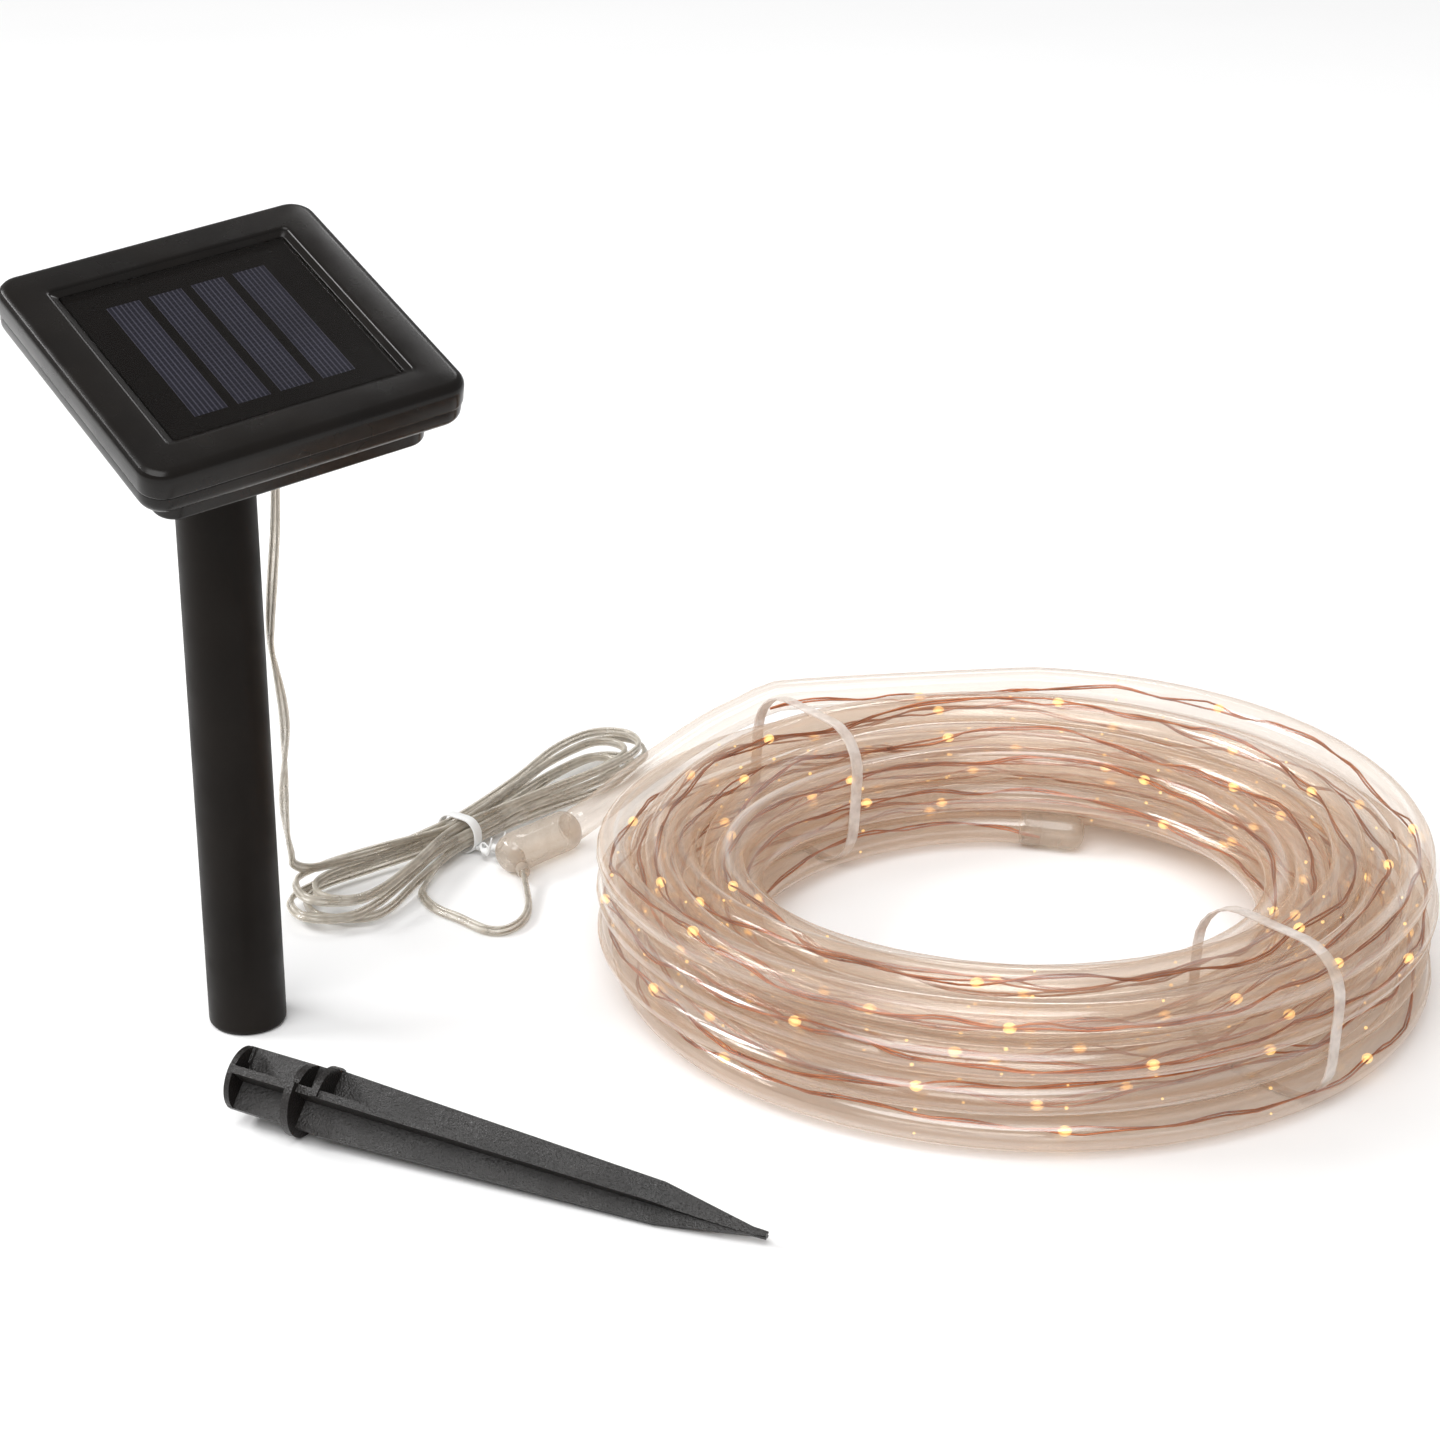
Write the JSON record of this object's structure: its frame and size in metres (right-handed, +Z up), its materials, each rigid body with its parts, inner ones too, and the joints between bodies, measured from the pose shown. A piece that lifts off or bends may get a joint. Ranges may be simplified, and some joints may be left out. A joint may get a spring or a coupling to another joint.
{
  "type": "solar rope light set",
  "caption": "Tilting square solar head on a tube stem, a separate ground stake, a tied twin lead and a coil of clear rope with a string of small lights inside.",
  "frame": {"origin": "centre of the stem's lower end, where its stake socket opens, on the ground", "axes": "+Z up along the stem, out of the socket towards the solar head; +X towards the coil; +Y away from the viewer"},
  "size_m": [0.3969, 0.3131, 0.2256],
  "materials": {
    "head_shell": "satin",
    "window": "gloss",
    "cells": "gloss",
    "cell_board": "satin",
    "seal": "matte",
    "screw_steel": "satin",
    "battery_wrap": "gloss",
    "contact_metal": "satin",
    "circuit": "satin",
    "circuit_parts": "satin",
    "wire_red": "satin",
    "switch_metal": "satin",
    "switch_knob": "matte",
    "hinge_black": "satin",
    "stem_black": "satin",
    "stake_black": "matte",
    "lead_clear": "gloss",
    "tie_white": "satin",
    "joint_clear": "gloss",
    "rope_clear": "gloss",
    "copper": "satin",
    "coil_tie": "satin"
  },
  "bodies": {
    "set": {"stem_knuckle": "hinge_black", "pivot_screw": "screw_steel", "stem": "stem_black", "lead_upper": "lead_clear", "lead_hank": "lead_clear", "hank_tie": "tie_white", "lead_lower": "lead_clear", "rope_joint": "joint_clear", "rope_tail": "rope_clear", "rope_coil": "rope_clear", "led_string": "copper", "rope_end_cap": "joint_clear", "coil_tie_1": "coil_tie", "coil_tie_2": "coil_tie"},
    "bracket": {"tilt_bracket": "hinge_black", "turn_clip": "screw_steel", "cable_gland": "seal", "pivot_nut": "screw_steel"},
    "head": {"top_cover": "head_shell", "solar_window": "window", "solar_cells": "cells", "cell_board": "cell_board", "cover_seal": "seal", "bottom_cover": "head_shell", "cover_screws": "screw_steel", "battery_lid": "head_shell", "lid_screws": "screw_steel", "battery": "battery_wrap", "battery_contacts": "contact_metal", "circuit_board": "circuit", "circuit_parts": "circuit_parts", "inner_wires": "wire_red", "switch_body": "switch_metal"},
    "knob": {"switch_knob": "switch_knob"},
    "stake": {"stake": "stake_black"}
  },
  "joints": [
    {"name": "head_tilt", "type": "hinge", "parent": "set", "child": "bracket", "pos_m": [0, 0, 0.1765], "axis": [0.9542, 0.299, 0], "range_deg": [-40, 35]},
    {"name": "head_turn", "type": "hinge", "parent": "bracket", "child": "head", "pos_m": [0.00477, 0.0015, 0.1765], "axis": [0.1106, -0.3528, 0.9291], "range_deg": [-90, 90]},
    {"name": "switch_slide", "type": "slide", "parent": "head", "child": "knob", "axis": [0.8256, 0.5531, 0.1118], "range_m": [0, 0.003]},
    {"name": "stake_lift", "type": "slide", "parent": "set", "child": "stake", "axis": [0, 0, 1], "range_m": [0, 0.08]}
  ]
}
